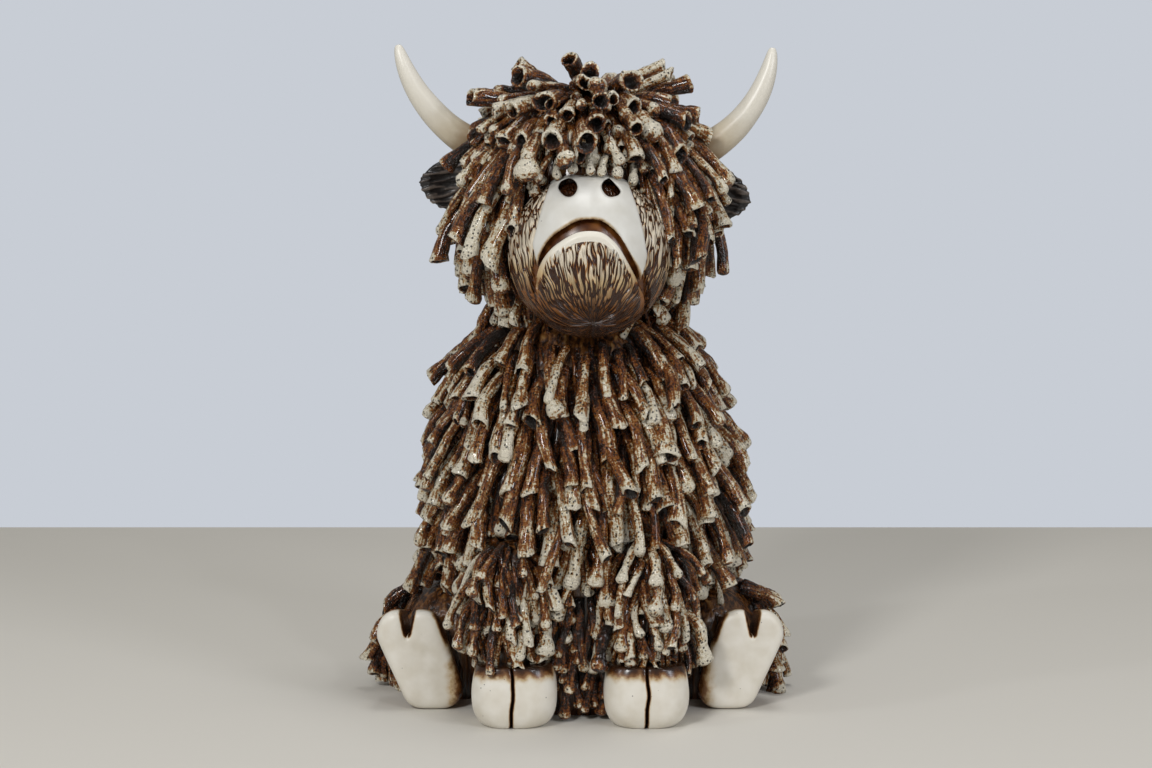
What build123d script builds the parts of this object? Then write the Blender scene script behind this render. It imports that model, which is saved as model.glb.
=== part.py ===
"""Seated shaggy cow figurine in cast resin: solid cores, modelled pieces and a coat of rolled locks.

Millimetres. +Z is up and the cow faces -Y. The origin is on the table, under the middle of the figure.
"Left" and "right" are the sides as seen from the front, so the right side is +X.
"""

import math
import os
import random
from collections import namedtuple
from functools import cache

import numpy as np
from build123d import *

# Joints between bonded pieces
GLUE_GAP = 0.15

# Body: a turned core on a vertical axis, with a neck tenon that carries the head
BODY_Y = 0.5
BASE_RADIUS = 37.0
BELLY_RADIUS, BELLY_HEIGHT = 42.5, 42.0
CHEST_RADIUS, CHEST_RISE = 41.0, 42.0
SHOULDER_RADIUS, SHOULDER_RISE = 37.0, 26.0
NECK_RADIUS, NECK_RISE = 25.0, 22.0
NECK_TENON = 15.0
CHEST_HEIGHT = BELLY_HEIGHT + CHEST_RISE
SHOULDER_HEIGHT = CHEST_HEIGHT + SHOULDER_RISE
NECK_HEIGHT = SHOULDER_HEIGHT + NECK_RISE
BODY_HEIGHT = NECK_HEIGHT + NECK_TENON

# Head: a ball with a socket for the neck tenon
HEAD_X, HEAD_Y, HEAD_RISE = 2.0, -2.0, 43.0
HEAD_Z = NECK_HEIGHT + HEAD_RISE
HEAD_RADIUS = 35.0

# Snout: a ball on the front of the head, with the nose pad and the lower jaw laid on it
SNOUT_RADIUS = 25.0
SNOUT_X, SNOUT_Y, SNOUT_DROP = 3.0, -34.0, 19.0
SNOUT_Z = HEAD_Z - SNOUT_DROP
NOSE_THICKNESS = 2.6
NOSE_TOP_WIDTH, NOSE_TOP_RISE = 24.0, 26.5
NOSE_WIDTH, NOSE_WIDEST_RISE = 37.0, 5.0
MOUTH_WIDTH, MOUTH_ARCH_RISE, MOUTH_CORNER_RISE = 34.0, 12.5, -2.0
NOSTRIL_RADIUS, NOSTRIL_SPACING, NOSTRIL_RISE = 2.8, 13.4, 22.6
JAW_THICKNESS = 2.0
JAW_WIDTH, JAW_LIP_RISE, JAW_CORNER_RISE, JAW_CHIN_DROP = 35.0, 8.8, -6.5, 24.0

# Horns: round, tapering, each on one arc in a plane across the head, the right one bent more tightly
HORN_Y = 5.0
HORN_BEND_RADIUS = {-1: 53.0, 1: 44.0}
HORN_ROOT_ANGLE, HORN_TIP_ANGLE = {-1: 18.5, 1: 13.0}, {-1: 77.0, 1: 85.0}
HORN_ROOT_OUT, HORN_ROOT_RISE = {-1: 30.4, 1: 30.9}, {-1: 13.65, 1: 11.95}
HORN_ROOT_RADIUS, HORN_TIP_RADIUS, HORN_TAPER = 6.0, 0.9, 0.42
HORN_STATIONS = (0.0, 0.2, 0.4, 0.6, 0.78, 0.92, 1.0)
HORN_PEG_RADIUS, HORN_PEG_LENGTH = 2.6, 7.0

# Ears: leaf shaped and hollowed in front, the left one level and the right one drooping
EAR_OUT, EAR_Y, EAR_RISE = 32.0, 9.0, 3.0
EAR_LENGTH, EAR_WIDTH, EAR_THICKNESS = 26.5, 19.0, 4.4
EAR_DROOP = {-1: -3.0, 1: 12.0}
EAR_SCOOP_RADIUS, EAR_SCOOP_DEPTH = 22.0, 2.2
EAR_VIEW_RADIUS, EAR_VIEW_LENGTH = 6.0, 24.0

# Front legs and hooves
LEG_X, LEG_Y = 22.0, -39.0
LEG_RADIUS, LEG_HEIGHT = 10.5, 61.0
HOOF_Y = -45.0
HOOF_HEIGHT = 21.0
HOOF_SECTIONS = ((0.0, 21.0, 20.0), (3.0, 25.6, 24.4), (9.0, 28.4, 27.0), (HOOF_HEIGHT, 25.0, 23.0))
HOOF_CORNER = 8.5
CLEFT_WIDTH, CLEFT_DEPTH = 1.2, 5.0

# Hind legs: domed haunches beside the body, with the soles of the hooves facing forward
HAUNCH_X, HAUNCH_Y = 44.0, 7.0
HAUNCH_RADIUS, HAUNCH_HEIGHT = 21.0, 40.0
SOLE_X, SOLE_Y, SOLE_DEPTH = 48.0, -30.0, 19.0
SOLE_HEIGHT, SOLE_FOOT_WIDTH, SOLE_TOP_WIDTH = 34.5, 21.5, 22.5
SOLE_LEAN, SOLE_SHOULDER = 11.0, 26.0
SOLE_TOE_OUT, SOLE_TOE_IN = 2.8, 1.2
SOLE_CORNER, SOLE_EDGE = 7.0, 2.4
NOTCH_WIDTH, NOTCH_DEPTH = 4.6, 11.5

# Coat: rolled locks, bonded on the cores in rows like thatch, each row over the one below
LOCK_GAP = 0.15
LOCK_BORE_DEPTH = 5.0
ROOT_SHARE, BORE_SHARE, BORE_END_SHARE = 0.5, 0.62, 0.34
LENGTH_STEP, RADIUS_STEP = 2.0, 0.2
SHORTENINGS = (1.0, 0.8, 0.62, 0.48)
FIRST_LIFT, LAST_LIFT, LIFT_STEP = 2.0, 36.0, 2.0
LENGTH_SPREAD, RADIUS_SPREAD = (0.85, 1.12), (0.85, 1.15)
ROOT_SHIFT, ROOT_STEP_SHIFT = 1.5, 0.2
SWAY = 14.0
SAMPLES = 14
SEED = 7

LockSize = namedtuple("LockSize", "length radius spacing")
HAUNCH_LOCK = LockSize(16.0, 2.1, 4.6)
FORELEG_LOCK = LockSize(17.0, 1.9, 4.2)
BODY_LOCK = LockSize(28.0, 2.4, 5.6)
COLLAR_LOCK = LockSize(23.0, 2.3, 5.6)
FORELOCK = LockSize(13.0, 1.6, 4.0)
HEAD_LOCK = LockSize(28.0, 2.5, 6.0)
CROWN_LOCK = LockSize(18.0, 2.8, 6.2)

# Rows of the coat from the lowest up: shares of each core's height, then degrees from the top of the head
HAUNCH_ROWS = (0.2, 0.375, 0.55, 0.725, 0.875)
FORELEG_ROWS = (0.25, 0.4, 0.55, 0.7, 0.825, 0.925)
BODY_ROWS = {
    "lower": (0.205, 0.265, 0.325, 0.39),
    "middle": (0.45, 0.51, 0.57),
    "upper": (0.63, 0.69, 0.745),
    "collar": (0.79, 0.835, 0.885, 0.925, 0.965),
}
FORELOCK_ROW, FORELOCK_SPREAD, FORELOCK_LIFT = 64, 36, 34.0
HEAD_ROWS = (132, 124, 116, 106, 96, 86, 76, 66, 56)
CROWN_ROWS = (46, 38, 30, 22, 14, 6)
CROWN_LIFT_AT_TOP, CROWN_LIFT_RANGE = 50.0, 40.0
NOSE_VIEW_RADIUS = 15.0

SIDES = {"left": -1, "right": 1}
HEAD_QUARTERS = {"front": "fringe", "right": "right_cheek", "back": "nape", "left": "left_cheek"}


def upright(x, y):
    """The section plane of a piece that is turned about the vertical line at x, y."""
    return Plane(origin=(x, y, 0), x_dir=(1, 0, 0), z_dir=(0, -1, 0))


def vertical(x, y):
    return Axis((x, y, 0), (0, 0, 1))


def sampled(edge, count=32):
    """Radius and height of points along one edge of a turned section."""
    return np.array([tuple(edge @ (i / count))[:2] for i in range(count + 1)])


def body_form(grow=0.0):
    """The body's outside as a solid, moved out by grow, and the edge of its section."""
    with BuildPart() as form:
        with BuildSketch(upright(0, BODY_Y)):
            with BuildLine():
                flank = Spline(
                    (BASE_RADIUS + grow, 0),
                    (BELLY_RADIUS + grow, BELLY_HEIGHT),
                    (CHEST_RADIUS + grow, CHEST_HEIGHT),
                    (SHOULDER_RADIUS + grow, SHOULDER_HEIGHT),
                    (NECK_RADIUS + grow, NECK_HEIGHT),
                )
                top = BODY_HEIGHT + grow
                Polyline(flank @ 1, (NECK_RADIUS + grow, top), (0, top), (0, 0), flank @ 0)
            make_face()
        revolve(axis=vertical(0, BODY_Y))
    return form.part, flank


def head_form(grow=0.0):
    with BuildPart() as form:
        with Locations((HEAD_X, HEAD_Y, HEAD_Z)):
            Sphere(HEAD_RADIUS + grow)
    return form.part


def post_form(x, y, foot, top, radius):
    """An upright round post with a domed top, and its section from the foot to the top."""
    with BuildPart() as form:
        with BuildSketch(upright(x, y)):
            with BuildLine():
                shank = Line((radius, foot), (radius, top - radius))
                dome = RadiusArc(shank @ 1, (0, top), -radius)
                Polyline(dome @ 1, (0, foot), shank @ 0)
            make_face()
        revolve(axis=vertical(x, y))
    return form.part, np.concatenate([sampled(shank), sampled(dome)[1:]])


def haunch_form(turn):
    return post_form(turn * HAUNCH_X, HAUNCH_Y, 0, HAUNCH_HEIGHT, HAUNCH_RADIUS)


def leg_form(turn):
    return post_form(turn * LEG_X, LEG_Y, HOOF_HEIGHT, LEG_HEIGHT, LEG_RADIUS)


def make_head():
    with BuildPart() as head_core:
        add(head_form())
        add(body_form(GLUE_GAP)[0], mode=Mode.SUBTRACT)
        for turn in (-1, 1):
            add(horn_peg(turn, GLUE_GAP), mode=Mode.SUBTRACT)
    return head_core.part


def make_snout():
    with BuildPart() as snout:
        with Locations((SNOUT_X, SNOUT_Y, SNOUT_Z)):
            Sphere(SNOUT_RADIUS)
        add(head_form(GLUE_GAP), mode=Mode.SUBTRACT)
        add(body_form(GLUE_GAP)[0], mode=Mode.SUBTRACT)
    return snout.part


def snout_front():
    """The plane through the middle of the snout that face outlines are drawn on, looking at the cow."""
    return Plane(origin=(SNOUT_X, SNOUT_Y, SNOUT_Z), x_dir=(1, 0, 0), z_dir=(0, -1, 0))


def laid_on_snout(outline, thickness):
    """The outline pressed on the front of the snout, as a plate of one thickness."""
    with BuildPart() as plate:
        extrude(outline, amount=SNOUT_RADIUS + 2 * thickness)
        with Locations((SNOUT_X, SNOUT_Y, SNOUT_Z)):
            Sphere(SNOUT_RADIUS + thickness, mode=Mode.INTERSECT)
            Sphere(SNOUT_RADIUS + GLUE_GAP, mode=Mode.SUBTRACT)
        add(head_form(GLUE_GAP), mode=Mode.SUBTRACT)
    return plate.part


def make_nose_pad():
    """The pale nose: two nostrils at the top, and an arched upper lip below."""
    top, widest, corner = NOSE_TOP_WIDTH / 2, NOSE_WIDTH / 2, MOUTH_WIDTH / 2
    with BuildSketch(snout_front()) as outline:
        with BuildLine():
            Polyline((-corner, MOUTH_CORNER_RISE), (-widest, NOSE_WIDEST_RISE), (-top, NOSE_TOP_RISE))
            Line((-top, NOSE_TOP_RISE), (top, NOSE_TOP_RISE))
            Polyline((top, NOSE_TOP_RISE), (widest, NOSE_WIDEST_RISE), (corner, MOUTH_CORNER_RISE))
            ThreePointArc((corner, MOUTH_CORNER_RISE), (0, MOUTH_ARCH_RISE), (-corner, MOUTH_CORNER_RISE))
        make_face()
        with Locations((-NOSTRIL_SPACING / 2, NOSTRIL_RISE), (NOSTRIL_SPACING / 2, NOSTRIL_RISE)):
            Circle(NOSTRIL_RADIUS, mode=Mode.SUBTRACT)
    return laid_on_snout(outline.sketch, NOSE_THICKNESS)


def make_lower_jaw():
    """The chin, with its lip arched under the upper one."""
    corner = JAW_WIDTH / 2
    with BuildSketch(snout_front()) as outline:
        with BuildLine():
            ThreePointArc((-corner, JAW_CORNER_RISE), (0, JAW_LIP_RISE), (corner, JAW_CORNER_RISE))
            ThreePointArc((corner, JAW_CORNER_RISE), (0, -JAW_CHIN_DROP), (-corner, JAW_CORNER_RISE))
        make_face()
    return laid_on_snout(outline.sketch, JAW_THICKNESS)


def horn_bend(turn):
    """The centre of the arc that a horn follows, and the plane of the arc with X outward and Y up."""
    root = math.radians(HORN_ROOT_ANGLE[turn])
    centre = Vector(
        HORN_ROOT_OUT[turn] - HORN_BEND_RADIUS[turn] * math.sin(root),
        HORN_ROOT_RISE[turn] + HORN_BEND_RADIUS[turn] * math.cos(root),
    )
    plane = Plane(origin=(HEAD_X, HORN_Y, HEAD_Z), x_dir=(turn, 0, 0), z_dir=(0, -turn, 0))
    return centre, plane


def horn_lean(turn, share):
    """The angle above the table of a horn at this share of the way to its tip."""
    return math.radians(HORN_ROOT_ANGLE[turn] + share * (HORN_TIP_ANGLE[turn] - HORN_ROOT_ANGLE[turn]))


def horn_point(turn, share):
    centre, plane = horn_bend(turn)
    lean = horn_lean(turn, share)
    out = centre.X + HORN_BEND_RADIUS[turn] * math.sin(lean)
    return plane.from_local_coords(Vector(out, centre.Y - HORN_BEND_RADIUS[turn] * math.cos(lean)))


def horn_section(turn, share):
    """The plane across a horn, with its normal towards the tip."""
    lean = horn_lean(turn, share)
    along = (turn * math.cos(lean), 0, math.sin(lean))
    return Plane(origin=horn_point(turn, share), x_dir=(0, 1, 0), z_dir=along)


def horn_radius(share):
    """A horn's radius, drawn in slowly at first and then to a blunt tip."""
    return HORN_TIP_RADIUS + (HORN_ROOT_RADIUS - HORN_TIP_RADIUS) * (1 - share) ** HORN_TAPER


def horn_peg(turn, grow=0.0):
    """The peg that holds a horn in the head, along the horn's root."""
    with BuildPart() as peg:
        with BuildSketch(horn_section(turn, 0).offset(-HORN_PEG_LENGTH - grow)):
            Circle(HORN_PEG_RADIUS + grow)
        extrude(amount=2 * HORN_PEG_LENGTH + grow)
    return peg.part


def make_horn(turn):
    with BuildPart() as horn:
        for share in HORN_STATIONS:
            with BuildSketch(horn_section(turn, share)):
                Circle(horn_radius(share))
        loft()
        add(head_form(GLUE_GAP), mode=Mode.SUBTRACT)
        add(horn_peg(turn))
    return horn.part


def ear_plane(turn):
    """The plane of an ear, with X along it from the head outwards and its normal to the front or back."""
    droop = math.radians(EAR_DROOP[turn])
    along = (turn * math.cos(droop), 0, -math.sin(droop))
    return Plane(origin=(HEAD_X + turn * EAR_OUT, EAR_Y, HEAD_Z + EAR_RISE), x_dir=along, z_dir=(0, -1, 0))


def make_ear(turn):
    with BuildPart() as ear:
        with BuildSketch(ear_plane(turn)):
            with BuildLine():
                ThreePointArc((0, 0), (EAR_LENGTH / 2, EAR_WIDTH / 2), (EAR_LENGTH, 0))
                ThreePointArc((EAR_LENGTH, 0), (EAR_LENGTH / 2, -EAR_WIDTH / 2), (0, 0))
            make_face()
        extrude(amount=EAR_THICKNESS / 2, both=True)
        fillet(ear.edges().filter_by(GeomType.CIRCLE), EAR_THICKNESS / 4)
        middle = ear_plane(turn).from_local_coords(
            Vector(EAR_LENGTH / 2, 0, EAR_THICKNESS / 2 + EAR_SCOOP_RADIUS - EAR_SCOOP_DEPTH)
        )
        with Locations(middle):
            Sphere(EAR_SCOOP_RADIUS, mode=Mode.SUBTRACT)
        add(head_form(GLUE_GAP), mode=Mode.SUBTRACT)
    return ear.part


def make_leg(turn):
    with BuildPart() as leg:
        add(leg_form(turn)[0])
        add(body_form(GLUE_GAP)[0], mode=Mode.SUBTRACT)
    return leg.part


def make_hoof(turn):
    """A front hoof: a rounded block that swells above the table, split at the front."""
    with BuildPart() as hoof:
        for height, width, depth in HOOF_SECTIONS:
            with BuildSketch(Plane(origin=(turn * LEG_X, HOOF_Y, height))):
                RectangleRounded(width, depth, HOOF_CORNER)
        loft()
        front = HOOF_Y - max(depth for _, _, depth in HOOF_SECTIONS) / 2
        with Locations((turn * LEG_X, front, HOOF_HEIGHT / 2)):
            Box(CLEFT_WIDTH, 2 * CLEFT_DEPTH, 2 * HOOF_HEIGHT, mode=Mode.SUBTRACT)
        add(body_form(GLUE_GAP)[0], mode=Mode.SUBTRACT)
    return hoof.part


def make_hind_hoof(turn):
    """A hind hoof lying on its heel: the flat sole faces forward, leans out and is notched at the toes."""
    plane = Plane(origin=(turn * SOLE_X, SOLE_Y, 0), x_dir=(turn, 0, 0), z_dir=(0, -turn, 0))
    foot, top = SOLE_FOOT_WIDTH / 2, SOLE_TOP_WIDTH / 2
    with BuildPart() as hoof:
        with BuildSketch(plane) as sole:
            with BuildLine():
                Polyline(
                    (-foot, 0),
                    (foot, 0),
                    (SOLE_LEAN + top, SOLE_SHOULDER),
                    (SOLE_LEAN + top - SOLE_TOE_OUT, SOLE_HEIGHT),
                    (SOLE_LEAN - top + SOLE_TOE_IN, SOLE_HEIGHT),
                    close=True,
                )
            make_face()
            fillet(sole.vertices(), SOLE_CORNER)
        extrude(amount=-turn * SOLE_DEPTH)
        fillet(hoof.faces().sort_by(Axis.Y)[0].edges(), SOLE_EDGE)
        with BuildSketch(plane):
            with BuildLine():
                Polyline(
                    (SOLE_LEAN - NOTCH_WIDTH / 2, SOLE_HEIGHT),
                    (SOLE_LEAN + NOTCH_WIDTH / 2, SOLE_HEIGHT),
                    (SOLE_LEAN, SOLE_HEIGHT - NOTCH_DEPTH),
                    close=True,
                )
            make_face()
        extrude(amount=-turn * SOLE_DEPTH, mode=Mode.SUBTRACT)
    return hoof.part


def make_haunch(turn, hoof):
    with BuildPart() as haunch:
        add(haunch_form(turn)[0])
        add(body_form(GLUE_GAP)[0], mode=Mode.SUBTRACT)
        add(hoof, mode=Mode.SUBTRACT)
    return haunch.part


class Core:
    """A piece turned about a vertical line, as the coat sees it: an axis and a section edge."""

    def __init__(self, x, y, section):
        self.x, self.y = x, y
        self.section = section

    def root(self, height, azimuth):
        """The point of the surface at this height, its normal and its downhill direction.

        Azimuth 0 is the front and 90 degrees the right side.
        """
        heights = self.section[:, 1]
        index = min(int(np.searchsorted(heights, height)), len(heights) - 1)
        low, high = self.section[index - 1], self.section[index]
        radius = np.interp(height, heights, self.section[:, 0])
        outward = np.array([math.sin(azimuth), -math.cos(azimuth), 0])
        up = np.array([0, 0, 1])
        widen, rise = (high - low) / np.linalg.norm(high - low)
        point = np.array([self.x, self.y, height]) + radius * outward
        return point, rise * outward - widen * up, -widen * outward - rise * up

    def is_far(self, point, reach):
        apart = math.hypot(point[0] - self.x, point[1] - self.y) > self.section[:, 0].max() + reach
        below = point[2] < self.section[:, 1].min() - reach
        above = point[2] > self.section[:, 1].max() + reach
        return apart or below or above

    def distance(self, points):
        """The distance of each point from the surface, negative inside."""
        reach = np.hypot(points[:, 0] - self.x, points[:, 1] - self.y)
        flat = np.stack([reach, points[:, 2]], axis=1)[:, None]
        low, step = self.section[:-1], np.diff(self.section, axis=0)
        share = ((flat - low) * step).sum(2) / (step**2).sum(1)
        nearest = low + np.clip(share, 0, 1)[..., None] * step
        gap = np.linalg.norm(flat - nearest, axis=2).min(1)
        inside = reach < np.interp(points[:, 2], self.section[:, 1], self.section[:, 0], left=0, right=0)
        return np.where(inside, -gap, gap)


class Coat:
    """Rolled locks laid one after another, each clear of the pieces and the locks that are already there."""

    def __init__(self, cores, obstacles):
        self.cores = cores
        self.starts = np.array([rod[0] for rod in obstacles])
        self.runs = np.array([rod[1] for rod in obstacles]) - self.starts
        self.root_radii = np.array([rod[2] for rod in obstacles])
        self.end_radii = self.root_radii.copy()
        self.groups = {}
        self.draw = random.Random(SEED)

    def clear_ways(self, start, ways, length, radius):
        """Which of these directions a lock from start can take without touching anything."""
        share = np.linspace(0, 1, SAMPLES)
        thickness = radius * (ROOT_SHARE + (1 - ROOT_SHARE) * share) + LOCK_GAP
        points = start + length * share[None, :, None] * ways[:, None]
        clear = (points[..., 2] > thickness).all(1)
        for core in self.cores:
            if core.is_far(start, length + 2 * radius):
                continue
            gaps = core.distance(points.reshape(-1, 3)).reshape(len(ways), SAMPLES)
            clear &= (gaps > thickness - LOCK_GAP / 2).all(1)
        reach = np.linalg.norm(self.starts + self.runs / 2 - start, axis=1)
        near = reach < length + np.linalg.norm(self.runs, axis=1) / 2 + self.end_radii + radius
        runs, froms = self.runs[near], self.starts[near]
        offsets = points[:, :, None] - froms
        spot = np.clip((offsets * runs).sum(3) / np.maximum((runs**2).sum(1), 1e-9), 0, 1)
        gaps = np.linalg.norm(offsets - spot[..., None] * runs, axis=3)
        gaps -= self.root_radii[near] + spot * (self.end_radii - self.root_radii)[near]
        return clear & (gaps > thickness[None, :, None]).all((1, 2))

    def lay(self, group, core, height, azimuth, length, radius, lifts):
        """Lay one lock from this root at the lowest lift that is clear, shortened if it must be."""
        point, normal, downhill = core.root(height, azimuth)
        start = point + (ROOT_SHARE * radius + LOCK_GAP) * normal
        wave = math.sin(3 * azimuth + height / 13) + math.sin(5 * azimuth - height / 9)
        sway = math.radians(SWAY * wave / 2 + self.draw.gauss(0, SWAY / 3))
        along = math.cos(sway) * downhill + math.sin(sway) * np.cross(normal, downhill)
        angles = np.radians(lifts)[:, None]
        ways = np.cos(angles) * along + np.sin(angles) * normal
        for shortening in SHORTENINGS:
            rolled = LENGTH_STEP * round(length * shortening / LENGTH_STEP)
            clear = self.clear_ways(start, ways, rolled, radius)
            if clear.any():
                way = ways[clear.argmax()]
                self.starts = np.vstack([self.starts, start])
                self.runs = np.vstack([self.runs, rolled * way])
                self.root_radii = np.append(self.root_radii, ROOT_SHARE * radius)
                self.end_radii = np.append(self.end_radii, radius)
                self.groups.setdefault(group, []).append((start, way, rolled, radius))
                return

    def row(self, name, core, height, size, first_lift=FIRST_LIFT, last_lift=LAST_LIFT, spread=180.0):
        """Lay a ring of locks around a core, or the part of it within spread degrees of the front.

        name turns an azimuth into the group that the lock there belongs to.
        """
        around = 2 * math.pi * np.interp(height, core.section[:, 1], core.section[:, 0])
        count = max(1, round(around / size.spacing))
        turn = self.draw.uniform(0, 2 * math.pi)
        lifts = np.arange(first_lift, last_lift, LIFT_STEP)
        for i in range(count):
            step = i + self.draw.uniform(-ROOT_STEP_SHIFT, ROOT_STEP_SHIFT)
            azimuth = (turn + 2 * math.pi * step / count) % (2 * math.pi)
            length = size.length * self.draw.uniform(*LENGTH_SPREAD)
            radius = RADIUS_STEP * round(size.radius * self.draw.uniform(*RADIUS_SPREAD) / RADIUS_STEP)
            root_height = height + self.draw.uniform(-ROOT_SHIFT, ROOT_SHIFT)
            from_front = math.degrees(min(azimuth, 2 * math.pi - azimuth))
            if from_front < spread:
                self.lay(name(azimuth), core, root_height, azimuth, length, radius, lifts)


@cache
def lock_solid(length, radius):
    """One rolled lock along +Z: narrower at the root, with a cone-shaped hollow in its open end."""
    with BuildPart() as lock:
        with BuildSketch(Plane.XZ):
            with BuildLine():
                Polyline(
                    (0, 0),
                    (ROOT_SHARE * radius, 0),
                    (radius, length),
                    (BORE_SHARE * radius, length),
                    (BORE_END_SHARE * radius, length - LOCK_BORE_DEPTH),
                    (0, length - LOCK_BORE_DEPTH),
                    close=True,
                )
            make_face()
        revolve(axis=Axis.Z)
    return lock.part.solid()


def head_height(polar):
    """The height of a ring on the head that is this many degrees from its top."""
    return HEAD_Z + HEAD_RADIUS * math.cos(math.radians(polar))


def quarter(azimuth):
    """Which side of the figure an azimuth is on."""
    turned = math.degrees(azimuth) % 360
    return ("front", "right", "back", "left")[int((turned + 45) // 90) % 4]


def sphere_obstacle(centre, radius):
    point = np.array(centre, dtype=float)
    return point, point, radius


def rod_obstacle(start, end, radius):
    return np.array(tuple(start)), np.array(tuple(end)), radius


def hoof_envelope():
    """The section of the round shape that a front hoof fits in."""
    width, depth = (max(section[i] for section in HOOF_SECTIONS) / 2 - HOOF_CORNER for i in (1, 2))
    radius = math.hypot(width, depth) + HOOF_CORNER
    return np.array([(radius, 0), (radius, HOOF_HEIGHT), (0, HOOF_HEIGHT + LOCK_GAP)])


def coat_obstacles():
    """The modelled pieces that the coat keeps clear of, as balls and round-ended rods."""
    found = [sphere_obstacle((SNOUT_X, SNOUT_Y, SNOUT_Z), SNOUT_RADIUS + NOSE_THICKNESS)]
    nose_middle = SNOUT_Z + (NOSE_TOP_RISE + MOUTH_ARCH_RISE) / 2 - NOSE_THICKNESS
    nose_front = (SNOUT_X, SNOUT_Y - SNOUT_RADIUS, nose_middle)
    viewer = (SNOUT_X, SNOUT_Y - 2 * SNOUT_RADIUS, nose_middle)
    found.append(rod_obstacle(nose_front, viewer, NOSE_VIEW_RADIUS))
    for turn in (-1, 1):
        for low, high in zip(HORN_STATIONS, HORN_STATIONS[1:]):
            found.append(rod_obstacle(horn_point(turn, low), horn_point(turn, high), horn_radius(low)))
        ear = ear_plane(turn)
        for side in (-EAR_WIDTH / 3, 0, EAR_WIDTH / 3):
            near = ear.from_local_coords(Vector(EAR_THICKNESS, side))
            far = ear.from_local_coords(Vector(EAR_LENGTH - abs(side), side))
            found.append(rod_obstacle(near, far, EAR_THICKNESS * 2 / 3))
        ear_front = ear.from_local_coords(Vector(EAR_LENGTH * 3 / 4, 0, EAR_VIEW_RADIUS))
        viewer = ear.from_local_coords(Vector(EAR_LENGTH * 3 / 4, 0, EAR_VIEW_LENGTH))
        found.append(rod_obstacle(ear_front, viewer, EAR_VIEW_RADIUS))
        sole_middle = SOLE_Y + SOLE_DEPTH / 2
        low = (turn * SOLE_X, sole_middle, SOLE_HEIGHT / 3)
        high = (turn * (SOLE_X + SOLE_LEAN), sole_middle, SOLE_HEIGHT * 2 / 3)
        found.append(rod_obstacle(low, high, SOLE_HEIGHT / 2 + SOLE_EDGE))
    return found


def lay_coat(body_edge):
    """Lay the whole coat from the feet up and return each group's locks."""
    neck = sampled(Line((NECK_RADIUS, NECK_HEIGHT), (NECK_RADIUS, BODY_HEIGHT)))
    body = Core(0, BODY_Y, np.concatenate([sampled(body_edge), neck[1:]]))
    head = Core(HEAD_X, HEAD_Y, sampled(CenterArc((0, HEAD_Z), HEAD_RADIUS, -90, 180)))
    legs = {side: Core(turn * LEG_X, LEG_Y, leg_form(turn)[1]) for side, turn in SIDES.items()}
    haunches = {side: Core(turn * HAUNCH_X, HAUNCH_Y, haunch_form(turn)[1]) for side, turn in SIDES.items()}
    hooves = [Core(turn * LEG_X, HOOF_Y, hoof_envelope()) for turn in SIDES.values()]
    coat = Coat([body, head, *legs.values(), *haunches.values(), *hooves], coat_obstacles())
    for side in SIDES:
        for share in HAUNCH_ROWS:
            coat.row(lambda _: f"{side}_haunch_locks", haunches[side], share * HAUNCH_HEIGHT, HAUNCH_LOCK)
        for share in FORELEG_ROWS:
            height = HOOF_HEIGHT + share * (LEG_HEIGHT - HOOF_HEIGHT)
            coat.row(lambda _: f"{side}_foreleg_locks", legs[side], height, FORELEG_LOCK)
    for tier, shares in BODY_ROWS.items():
        size = COLLAR_LOCK if tier == "collar" else BODY_LOCK
        for share in shares:
            coat.row(lambda azimuth: f"{quarter(azimuth)}_{tier}_locks", body, share * BODY_HEIGHT, size)
    coat.row(
        lambda _: "fringe_locks",
        head,
        head_height(FORELOCK_ROW),
        FORELOCK,
        FORELOCK_LIFT,
        FORELOCK_LIFT + LAST_LIFT,
        FORELOCK_SPREAD,
    )
    for polar in HEAD_ROWS:
        coat.row(lambda azimuth: f"{HEAD_QUARTERS[quarter(azimuth)]}_locks", head, head_height(polar), HEAD_LOCK)
    for polar in CROWN_ROWS:
        lift = CROWN_LIFT_AT_TOP - polar
        coat.row(lambda _: "crown_locks", head, head_height(polar), CROWN_LOCK, lift, lift + CROWN_LIFT_RANGE)
    return coat.groups


def make_locks(laid):
    """A group of locks as separate solids in one piece."""
    solids = []
    for start, way, length, radius in laid:
        place = Plane(origin=tuple(start), z_dir=tuple(way))
        solids.append(lock_solid(length, radius).moved(place.location))
    return Compound(children=solids)


def save(name, part):
    part.label = name
    export_step(part, f"parts/{name}.step")


os.makedirs("parts", exist_ok=True)
body_core, body_edge = body_form()
head_core = make_head()
save("body_core", body_core)
save("head_core", head_core)
save("snout", make_snout())
save("nose_pad", make_nose_pad())
save("lower_jaw", make_lower_jaw())
for side, turn in SIDES.items():
    hind_hoof = make_hind_hoof(turn)
    save(f"{side}_horn", make_horn(turn))
    save(f"{side}_ear", make_ear(turn))
    save(f"{side}_foreleg", make_leg(turn))
    save(f"{side}_fore_hoof", make_hoof(turn))
    save(f"{side}_hind_hoof", hind_hoof)
    save(f"{side}_haunch", make_haunch(turn, hind_hoof))
for name, laid in lay_coat(body_edge).items():
    save(name, make_locks(laid))
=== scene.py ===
"""Looks of a seated shaggy cow figurine: painted cast resin with a coat of rolled locks and a pale muzzle."""

import math
import random

import bmesh
import bpy
import numpy as np
from mathutils import Matrix, Vector, noise


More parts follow.
